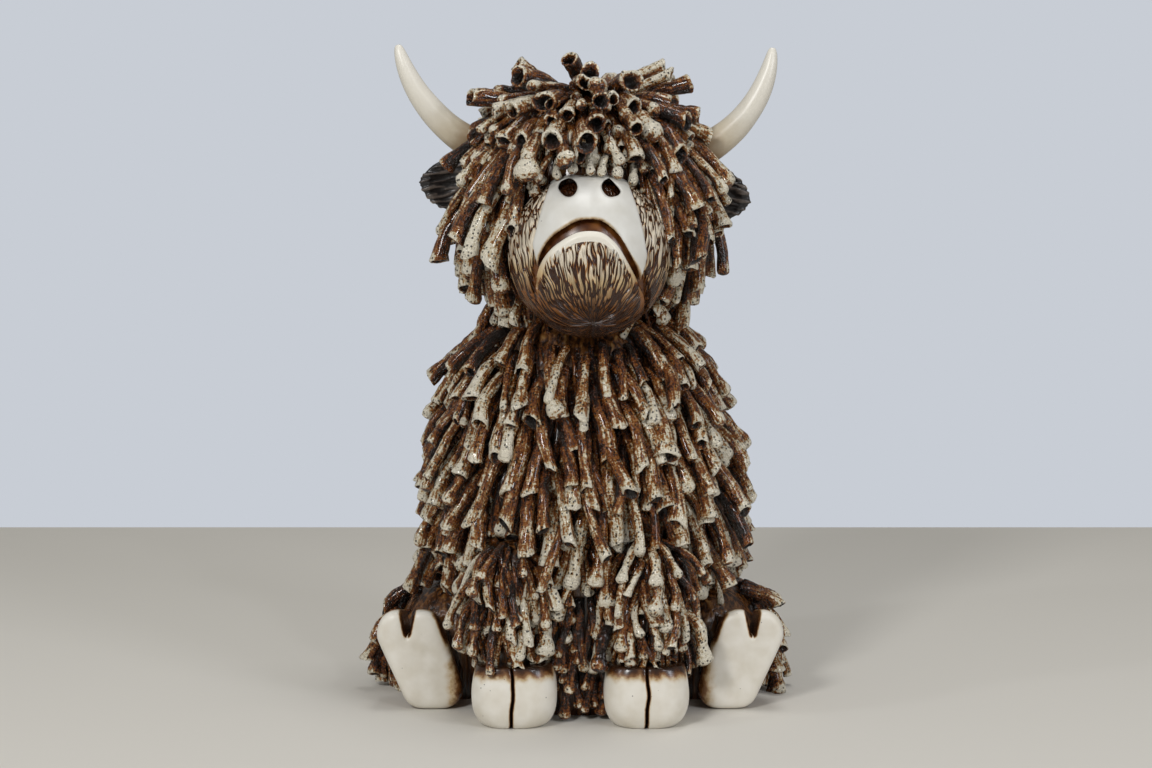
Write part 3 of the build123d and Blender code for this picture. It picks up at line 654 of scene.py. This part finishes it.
def coat_piece(node, templates, material, middle_of, finish, more_strands):
    """All the locks of one coat group, and the strands under them, as one piece."""
    shape = bmesh.new()
    paint = LockPaint(shape)
    draw = random.Random(node)
    lock_template, strand_template = templates
    brush, bead_share, droop = finish
    for line in lock_lines(node):
        root, way, length, _ = line
        outward = root + way * length / 2 - middle_of(root)
        for strand in strand_lines(line, root - middle_of(root), draw):
            strand = clear_of_nose(strand)[0]
            shade = brush + STRAND_BRUSH + draw.gauss(0, STRAND_BRUSH_SPREAD)
            form = LockForm(strand, draw, draw.random() < STRAND_BEADS, STRAND_DROOP)
            roll_lock(shape, paint, strand_template, form, outward, shade)
        line, shortened = clear_of_nose(ruffled(line, outward.normalized(), draw))
        bead = shortened or draw.random() < bead_share
        shade = brush + draw.gauss(0, LOCK_BRUSH_SPREAD) + (SHORTENED_BRUSH if shortened else 0.0)
        roll_lock(shape, paint, lock_template, LockForm(line, draw, bead, droop), outward, shade)
    for strand, outward, shade in more_strands:
        shade += draw.gauss(0, ADDED_BRUSH_SPREAD)
        form = LockForm(strand, draw, bead=True, droop=0.0)
        roll_lock(shape, paint, lock_template, form, outward, shade)
    finished(node.replace("_locks", "_coat"), shape, material, node)


def axis_of(core):
    """A function that gives the point at the same height on the upright axis of a core."""
    low, high = box_of(core)
    middle = (low + high) / 2
    return lambda point: Vector((middle.x, middle.y, point.z))


def centre_of(core):
    """A function that gives the centre of a core for any point."""
    low, high = box_of(core)
    middle = (low + high) / 2
    return lambda point: middle


def belly_strands():
    """Strands that hang down the body between the forelegs, with the way they face and their brushing."""
    draw = random.Random("belly")
    forward = Vector((0, -1, 0))
    well_in_front = -120
    for height in BELLY_ROWS:
        for step in range(-6, 7):
            aside = BELLY_SPACING * step + draw.uniform(-1, 1)
            start = Vector((aside, well_in_front, height + draw.uniform(-3, 3)))
            hit, place, normal, _ = nodes["body_core"].ray_cast(start * MM, -forward)
            if hit:
                way = Vector((draw.uniform(-0.25, 0.25), draw.uniform(-0.25, -0.05), -1)).normalized()
                length = min(draw.uniform(13, 20), start.z - 2.0)
                strand = place / MM + normal * 0.4, way, length, draw.uniform(1.2, 2.0)
                yield strand, forward, BELLY_BRUSH


def nose_beads():
    """A row of short locks with round pale ends along the upper edge of the nose pad."""
    draw = random.Random("beads")
    for aside in NOSE_BEADS:
        rise = NOSE_BEAD_RISE - 0.018 * aside * aside + draw.uniform(-0.5, 0.5)
        tip = SNOUT_MIDDLE + Vector((aside, NOSE_BEAD_FRONT + 0.03 * aside * aside, rise))
        root = tip + Vector((draw.uniform(-1.5, 1.5), 9.0, 5.0))
        way = (tip - root).normalized()
        strand = root, way, (tip - root).length, draw.uniform(1.5, 1.8)
        yield strand, Vector((0, -0.7, 0.7)), NOSE_BEAD_BRUSH


# How the muzzle is made


def softened(node, voxel, passes):
    """A copy of a CAD node with rounded corners, as a cast comes out of its mould, in an even fine mesh."""
    shape = merged_copy(node)
    mesh = bpy.data.meshes.new("remeshed")
    shape.to_mesh(mesh)
    shape.free()
    holder = bpy.data.objects.new("remeshed", mesh)
    bpy.context.scene.collection.objects.link(holder)
    remesh = holder.modifiers.new("voxels", "REMESH")
    remesh.mode = "VOXEL"
    remesh.voxel_size = voxel * MM
    even = bpy.data.meshes.new_from_object(holder.evaluated_get(bpy.context.evaluated_depsgraph_get()))
    bpy.data.objects.remove(holder)
    soft = bmesh.new()
    soft.from_mesh(even)
    for _ in range(passes):
        bmesh.ops.smooth_vert(
            soft, verts=soft.verts, factor=0.5, use_axis_x=True, use_axis_y=True, use_axis_z=True
        )
    soft.normal_update()
    return soft


def sculpt(shape, layer_name, work):
    """Press a surface in and out: work gives each point a height along its normal, and its paint."""
    layer = shape.verts.layers.float.new(layer_name)
    for vert in shape.verts:
        height, paint = work(vert.co / MM, vert.normal)
        vert.co += vert.normal * height * MM
        vert[layer] = paint
    shape.normal_update()
    return shape


def above_mouth(aside, rise, drop=0.0):
    """Distance above the upper lip's edge, where that hangs lower by drop."""
    return math.hypot(aside, rise + drop - MOUTH_ARC_RISE) - MOUTH_ARC_RADIUS


def below_mouth(aside, rise, drop=0.0):
    """Distance below the lower lip's edge, where that hangs lower by drop."""
    return LIP_ARC_RADIUS - math.hypot(aside, rise + drop - LIP_ARC_RISE)


def mouth_drop(aside):
    """How much lower the mouth hangs than an even arch: more on its right side."""
    right = 3.0 * smooth(3.0, 12.0, aside) + 3.4 * smooth(8.0, 15.0, aside)
    return right + 0.8 * smooth(-3.0, -10.0, aside)


def mouth_channel(aside, rise):
    """1 in the channel between the lips and 0 outside it."""
    drop = mouth_drop(aside)
    below_upper_lip = smooth(1.4, 0.4, above_mouth(aside, rise, drop))
    return below_upper_lip * smooth(1.4, 0.4, below_mouth(aside, rise, drop))


def outside_jaw(aside, rise):
    """Distance outside the rounded lower edge of the jaw, less than zero within it."""
    return math.hypot(aside, rise - JAW_ARC_RISE) - JAW_ARC_RADIUS


def hung_mouth(shape, from_lip):
    """Let the mouth edge of a piece hang, and the piece follow it less and less away from the edge."""
    for vert in shape.verts:
        away = vert.co / MM - SNOUT_MIDDLE
        drop = mouth_drop(away.x) * smooth(10.0, 0.0, abs(from_lip(away.x, away.z)))
        vert.co = (SNOUT_MIDDLE + (away - Vector((0, 0, drop))).normalized() * away.length) * MM
    shape.normal_update()
    return shape


def drawn_nostrils(shape):
    """Draw the nostrils down the nose pad and out of round: the left one wide, the right one a comma."""
    for vert in shape.verts:
        away = vert.co / MM - SNOUT_MIDDLE
        spot = Vector((away.x, away.z))
        moved = away.copy()
        for middle, reach, pull in NOSTRIL_PULLS:
            pulled = smooth(reach, 0.3 * reach, (spot - Vector(middle)).length)
            moved += Vector((pull[0], 0, pull[1])) * pulled
        vert.co = (SNOUT_MIDDLE + moved.normalized() * away.length) * MM
    shape.normal_update()
    return shape


def chin_wash(aside, rise):
    """Brown wash over the fur of the snout: nearly none below the lip, more to the throat and cheeks."""
    cheeks = smooth(9.0, 19.0, abs(aside)) * smooth(12.0, -4.0, rise)
    return 0.74 * smooth(3.0, -19.0, rise) + 0.14 * cheeks


def nose_work(point, normal):
    """Round lobes below the nostrils and a soft dip between them. Wash gathers at the lip and the edges."""
    away = point - SNOUT_MIDDLE
    aside, rise = away.x, away.z
    lobe = math.exp(-((abs(aside) - 9.5) ** 2 + (rise - 15) ** 2) / 40)
    dip = math.exp(-((aside / 3.0) ** 2) - ((rise - 22) / 6.0) ** 2)
    height = 0.7 * lobe - 0.5 * dip if normal.dot(away) > 0 else 0.0
    lip = 0.45 * smooth(1.2, 0.0, above_mouth(aside, rise, mouth_drop(aside)))
    edge = 0.95 * smooth(0.9, 1.9, NOSE_RADIUS - away.length)
    return height, max(lip, edge)


def jaw_work(point, normal):
    """A smooth raised lip along the top, and a lower edge that sinks under the fur of the snout."""
    away = point - SNOUT_MIDDLE
    aside, rise = away.x, away.z
    lip_side = below_mouth(aside, rise, mouth_drop(aside))
    sunk = 0.5 * smooth(-1.8, 0.0, outside_jaw(aside, rise)) if rise < JAW_ARC_RISE else 0.0
    return 0.4 * math.exp(-((lip_side - 1.6) ** 2)) - sunk, chin_wash(aside, rise)


def snout_work(point, normal):
    """Fur in brown wash that carries on from the chin, and a smooth dark channel between the lips."""
    away = point - SNOUT_MIDDLE
    aside, rise = away.x, away.z
    in_front = away.y < 0
    mouth = mouth_channel(aside, rise) if in_front else 0.0
    nostril_out = math.hypot(abs(aside) - NOSTRIL_ASIDE, rise - NOSTRIL_RISE)
    nostril = smooth(5.5, 4.0, nostril_out) if in_front else 0.0
    # The fur lies over the jaw up to the lip, so no edge of the jaw shows below it.
    below_lip = smooth(2.4, 5.0, below_mouth(aside, rise, mouth_drop(aside)))
    below_lip = max(below_lip, smooth(-8.0, -12.0, rise))
    from_jaw = outside_jaw(aside, rise)
    over_jaw = smooth(3.5, -0.5, from_jaw) * below_lip if in_front else 0.0
    under_lip = smooth(-0.3, -1.6, from_jaw) * (1 - below_lip) if in_front else 0.0
    wash = max(chin_wash(aside, rise), 0.12 + 0.66 * smooth(0.0, -20.0, rise))
    height = (SNOUT_FILL + 0.85 * over_jaw - 0.9 * under_lip) * (1 - max(mouth, nostril))
    return height, max(wash, (0.95 + 0.3 * noise.noise(point / 2.5)) * mouth, nostril)


def jaw_fur(aside, rise):
    """Where the chin is combed: not on the lip, which is broad in the middle and thin at the sides."""
    lip_width = 1.0 + 3.2 * math.exp(-((aside / 8.5) ** 2)) + 0.9 * noise.noise((aside / 1.1, 0.5, 0.5))
    below_lip = smooth(lip_width - 0.3, lip_width + 0.7, below_mouth(aside, rise, mouth_drop(aside)))
    return max(below_lip, smooth(-6.0, -10.0, rise))


def snout_fur(aside, rise):
    """Where the snout is combed: all but the channel of the mouth."""
    return 1.0 - mouth_channel(aside, rise)


def comb_fur(shape, combed):
    """Give each point of the muzzle its place across and along the strokes, which run to the whorl."""
    fur_layer = shape.verts.layers.float_vector.new("fur")
    combed_layer = shape.verts.layers.float.new("combed")
    for vert in shape.verts:
        away = vert.co / MM - SNOUT_MIDDLE
        aside, up = away.x - CHIN_WHORL[0], away.z - CHIN_WHORL[1]
        along = math.hypot(aside, up)
        sway = 1.2 * noise.noise((away.x / 6, away.z / 6, 4.0))
        across = math.hypot(WHORL_RADIUS, along) * math.atan2(aside, up) + sway
        vert[fur_layer] = Vector((across, along, away.y))
        vert[combed_layer] = combed(away.x, away.z)
    return shape


def snout_piece(material):
    """The ball of the muzzle."""
    ball = bmesh.new()
    place = Matrix.Translation(SNOUT_MIDDLE * MM)
    bmesh.ops.create_icosphere(ball, subdivisions=7, radius=SNOUT_RADIUS * MM, matrix=place)
    ball.normal_update()
    sculpt(ball, "wash", snout_work)
    finished("snout_cast", comb_fur(ball, snout_fur), material, "snout")


def jaw_piece(material):
    """The chin with the lower lip."""
    jaw = hung_mouth(softened("lower_jaw", voxel=0.32, passes=4), below_mouth)
    sculpt(jaw, "wash", jaw_work)
    finished("jaw_cast", comb_fur(jaw, jaw_fur), material, "lower_jaw")


def nose_piece(material):
    """The nose pad with the upper lip."""
    nose = drawn_nostrils(hung_mouth(softened("nose_pad", voxel=0.35, passes=8), above_mouth))
    finished("nose_cast", sculpt(nose, "wash", nose_work), material, "nose_pad")


# How the horns, ears and hooves are made


def horn_piece(side, turn, material):
    """A horn drawn out along its arc, in slowly at first and then to a blunt tip, closed at both ends."""
    head_low, head_high = box_of("head_core")
    low, high = box_of(f"{side}_horn")
    bend, root_lean = HORN_BEND_RADIUS[turn], math.radians(HORN_ROOT_ANGLE[turn])
    swing = math.radians(HORN_TIP_ANGLE[turn]) - root_lean
    centre = Vector(
        (
            (head_low.x + head_high.x) / 2 + turn * (HORN_ROOT_OUT[turn] - bend * math.sin(root_lean)),
            (low.y + high.y) / 2,
            head_high.z - HEAD_RADIUS + HORN_ROOT_RISE[turn] + bend * math.cos(root_lean),
        )
    )
    horn = bmesh.new()
    # This layer first keeps each vertex's angle around the horn, which the next ring takes over from it.
    along_layer = horn.verts.layers.float.new("along")
    ring = bmesh.ops.create_circle(horn, segments=HORN_SIDES, radius=1.0)["verts"]
    for vert in ring:
        vert[along_layer] = math.atan2(vert.co.y, vert.co.x)
    edges = list({edge for vert in ring for edge in vert.link_edges})
    bmesh.ops.edgeloop_fill(horn, edges=edges)
    for step in range(HORN_STATIONS + 1):
        if step:
            ring, edges = ring_edges(bmesh.ops.extrude_edge_only(horn, edges=edges)["geom"])
        share = 1 - (1 - step / HORN_STATIONS) ** 1.6
        lean = root_lean + swing * share
        radius = HORN_TIP_RADIUS + (HORN_ROOT_RADIUS - HORN_TIP_RADIUS) * (1 - share) ** HORN_TAPER
        spot = centre + bend * Vector((turn * math.sin(lean), 0, -math.cos(lean)))
        across = Vector((turn * math.cos(lean), 0, math.sin(lean))).cross(Vector((0, 1, 0)))
        for vert in ring:
            angle = vert[along_layer]
            uneven = 1 + 0.04 * noise.noise(spot / 9 + Vector((math.cos(angle), math.sin(angle), 0)))
            around = math.cos(angle) * across + math.sin(angle) * Vector((0, 1, 0))
            vert.co = (spot + uneven * radius * around) * MM
    bmesh.ops.edgeloop_fill(horn, edges=edges)
    bmesh.ops.recalc_face_normals(horn, faces=horn.faces)
    # Then it takes the share of the way along the horn, for the paint.
    for vert in horn.verts:
        away = vert.co / MM - centre
        vert[along_layer] = (math.atan2(turn * away.x, -away.z) - root_lean) / swing
    finished(f"{side}_horn_cast", horn, material, f"{side}_horn")


def ear_work(root, tip):
    """Ear: grooves combed from the root to the tip, with pale ridges and a pale rim."""
    along_ear = (tip - root).normalized()

    def work(point, normal):
        away = point - root
        along = away.dot(along_ear)
        across = away.cross(along_ear).y
        sway = 0.4 * noise.noise((along / 6, across / 4, 0.3))
        stroke = noise.noise((across / 0.9 + sway, along / 6.5, 2.2))
        ridge = smooth(-0.3, 0.4, stroke)
        rim = smooth(0.65, 0.25, abs(normal.y))
        return 0.55 * (ridge - 0.5), 0.15 + 0.45 * ridge + 0.3 * rim * ridge

    return work


def ear_piece(side, turn, material):
    """An ear, from its root in the head to its tip."""
    low, high = box_of(f"{side}_ear")
    inner_x, outer_x = (high.x, low.x) if turn < 0 else (low.x, high.x)
    root = Vector((inner_x, (low.y + high.y) / 2, (low.z + high.z) / 2 + EAR_ROOT_RISE))
    tip = Vector((outer_x, root.y, root.z - EAR_TIP_DROP))
    ear = sculpt(softened(f"{side}_ear", voxel=0.35, passes=3), "ridge", ear_work(root, tip))
    finished(f"{side}_ear_cast", ear, material, f"{side}_ear")


def cleft_waver(middle, height):
    """How far aside the cleft of a front hoof runs at a height."""
    return CLEFT_WAVER * noise.noise((middle.x, 0.5, height / CLEFT_WAVE))


def closed_cleft(shape, middle):
    """Close the cleft of a front hoof to a thin line that wavers a little."""
    for vert in shape.verts:
        point = vert.co / MM
        aside = point.x - middle.x
        closing = CLEFT_CLOSING * smooth(5.0, 0.5, abs(aside)) * smooth(6.0, 0.0, point.y - middle.y)
        waver = cleft_waver(middle, point.z) * smooth(9.0, 2.0, abs(aside))
        vert.co.x += (waver - math.copysign(min(closing, abs(aside)), aside)) * MM
    shape.normal_update()
    return shape


def fore_hoof_work(middle, top):
    """Front hoof: darker in a ragged band just below the coat, brown wash in the cleft and browner towards
    the back, over a softly uneven cast.
    """

    def work(point, normal):
        away = point - middle
        away.x -= cleft_waver(middle, point.z)
        uneven = noise.noise(point / 9)
        fringe = noise.noise((math.atan2(away.x, away.y) * 5, point.z / 6, 7.0))
        under_coat = smooth(top - 5.5, top + 0.5, point.z + 2.0 * fringe)
        cleft = smooth(0.9, 0.35, abs(away.x)) * smooth(0, -6, away.y)
        behind = 0.55 * smooth(3, 11, away.y)
        return 0.15 * uneven, max(0.95 * under_coat, 0.85 * cleft, behind)

    return work


def fore_hoof_piece(side, material):
    """A front hoof with two toes."""
    low, high = box_of(f"{side}_fore_hoof")
    middle = (low + high) / 2
    hoof = closed_cleft(softened(f"{side}_fore_hoof", voxel=0.4, passes=10), middle)
    sculpt(hoof, "wash", fore_hoof_work(middle, high.z))
    finished(f"{side}_fore_hoof_cast", hoof, material, f"{side}_fore_hoof")


def narrowed_back(shape, low, high):
    """Draw a hind hoof in towards the leg behind its sole."""
    middle = (low + high) / 2
    for vert in shape.verts:
        point = vert.co / MM
        kept = 1 - HOOF_BACK_NARROWING * smooth(low.y + 2.0, high.y, point.y)
        vert.co.x = (middle.x + (point.x - middle.x) * kept) * MM
        vert.co.z = (middle.z + (point.z - middle.z) * kept) * MM
    shape.normal_update()
    return shape


def hind_hoof_work(inside, top):
    """Hind hoof: a flat pale sole, browner towards its inner side and its back, with brown wash in the notch.
    """

    def work(point, normal):
        uneven = noise.noise(point / 11)
        inner = (point.x - inside) * math.copysign(1.0, inside)
        ragged = 1.4 * noise.noise(point / 2.2)
        shaded = smooth(7.0, -1.0, inner + ragged)
        behind = smooth(-0.2, 0.5, normal.y)
        notch = smooth(0.35, 0.75, abs(normal.x)) * smooth(top - 14, top - 9, point.z)
        notch *= smooth(3.0, 5.0, inner) * smooth(24.0, 20.0, inner)
        return 0.12 * uneven, max(0.75 * shaded, 0.8 * behind, 0.75 * notch)

    return work


def hind_hoof_piece(side, turn, material):
    """A hind hoof that shows its sole."""
    low, high = box_of(f"{side}_hind_hoof")
    inside = high.x if turn < 0 else low.x
    hoof = narrowed_back(softened(f"{side}_hind_hoof", voxel=0.5, passes=36), low, high)
    sculpt(hoof, "wash", hind_hoof_work(inside, high.z))
    finished(f"{side}_hind_hoof_cast", hoof, material, f"{side}_hind_hoof")


# How the set is made


def stage_plane(name, corner, across, along, colour):
    """A plain flat sheet of the set, from one corner along two sides."""
    sheet = bmesh.new()
    corners = [corner, corner + across, corner + across + along, corner + along]
    sheet.faces.new([sheet.verts.new(point) for point in corners])
    mesh = bpy.data.meshes.new(name)
    sheet.to_mesh(mesh)
    sheet.free()
    material, _, shader = new_material(name)
    shader.inputs["Base Color"].default_value = linear(colour)
    shader.inputs["Roughness"].default_value = 0.8
    mesh.materials.append(material)
    plane = bpy.data.objects.new(name, mesh)
    bpy.context.scene.collection.objects.link(plane)


def area_lamp(name, place, target, size, power, colour):
    """A square softbox that faces a point."""
    lamp = bpy.data.lights.new(name, "AREA")
    lamp.shape = "SQUARE"
    lamp.size = size
    lamp.energy = power
    lamp.color = linear(colour)[:3]
    holder = bpy.data.objects.new(name, lamp)
    holder.location = place
    holder.rotation_euler = (Vector(target) - Vector(place)).to_track_quat("-Z", "Y").to_euler()
    bpy.context.scene.collection.objects.link(holder)


def pale_surround(light, strength, wall):
    """An even pale light from all around, which the camera sees as a plain wall."""
    world = bpy.data.worlds.new("studio")
    world.use_nodes = True
    tree = world.node_tree
    lighting = wire(tree, "Background", {"Color": linear(light), "Strength": strength})
    backdrop = wire(tree, "Background", {"Color": linear(wall), "Strength": 1.0})
    seen = wire(tree, "LightPath", out="Is Camera Ray")
    shown = wire(tree, "MixShader", {0: seen, 1: lighting, 2: backdrop})
    tree.links.new(shown, tree.nodes["World Output"].inputs["Surface"])
    bpy.context.scene.world = world


# Finishes
lock_lacquer = lacquered_lock_material()
umber_core = umber_core_material()
washed_cream = washed_cream_material("washed_cream_resin", "#D8D1C2", "#E5E0D5")
# Painted shade: the nose's cream is cooler than the hooves' and painted darker, to offset the extra light on
# its upward face.
shade_darkened_nose_cream = washed_cream_material("cool_cream_resin_darkened_as_shade", "#CBC8BF", "#D5D3CC")
combed_cream = combed_cream_material()
ivory = ivory_horn_material()
charcoal = charcoal_ear_material()

# Cores: the CAD solids show only in the gaps of the coat
for node in ("body_core", "head_core", "left_haunch", "right_haunch", "left_foreleg", "right_foreleg"):
    nodes[node].data.materials.clear()
    nodes[node].data.materials.append(umber_core)

# Coat
templates = lock_rings(LOCK_SIDES, LOCK_RINGS), lock_rings(STRAND_SIDES, STRAND_RINGS)
more_strands = {"front_lower_locks": belly_strands, "fringe_locks": nose_beads}
for node in sorted(name for name in nodes if name.endswith("_locks")):
    place, row = node.split("_")[:2]
    if row in ("haunch", "foreleg"):
        part, middle_of = row, axis_of(f"{place}_{row}")
    elif row in ("lower", "middle", "upper", "collar"):
        part, middle_of = f"front_{row}" if place == "front" else row, axis_of("body_core")
    else:
        part, middle_of = "crown" if place == "crown" else "head", centre_of("head_core")
    more = more_strands[node]() if node in more_strands else ()
    coat_piece(node, templates, lock_lacquer, middle_of, COAT_FINISH[part], more)

# Muzzle
snout_piece(combed_cream)
jaw_piece(combed_cream)
nose_piece(shade_darkened_nose_cream)

# Horns, ears and hooves
for side, turn in (("left", -1), ("right", 1)):
    horn_piece(side, turn, ivory)
    ear_piece(side, turn, charcoal)
    fore_hoof_piece(side, washed_cream)
    hind_hoof_piece(side, turn, washed_cream)

# Set: pale floor, softboxes and an even pale surround
stage_plane("floor", Vector((-3, -2, 0)), Vector((6, 0, 0)), Vector((0, 2.35, 0)), "#D9D5CC")
area_lamp("key", (-0.5, -1.05, 0.8), (0, 0, 0.12), size=0.22, power=6.6, colour="#FFFFFF")
area_lamp("fill", (0.8, -0.8, 0.5), (0, 0, 0.12), size=0.3, power=3.2, colour="#F4F7FF")
area_lamp("top", (0.1, 0.0, 1.0), (0, 0, 0.1), size=0.25, power=2.2, colour="#FFFFFF")
area_lamp("glint_left", (-0.9, -0.5, 0.55), (0, 0, 0.12), size=0.08, power=1.1, colour="#F4F8FF")
area_lamp("glint_right", (0.45, -0.95, 0.8), (0, 0, 0.12), size=0.08, power=1.1, colour="#F4F8FF")
pale_surround(light="#ECEBE8", strength=0.29, wall="#C8CDD5")
bpy.context.scene.view_settings.view_transform = "Standard"

# Camera
camera = bpy.data.cameras.new("camera")
camera.sensor_width = CAMERA_SENSOR
camera.lens = CAMERA_LENS
viewer = bpy.data.objects.new("camera", camera)
viewer.location = CAMERA_PLACE
viewer.rotation_euler = (math.pi / 2 - CAMERA_PITCH, 0, 0)
bpy.context.scene.collection.objects.link(viewer)
bpy.context.scene.camera = viewer
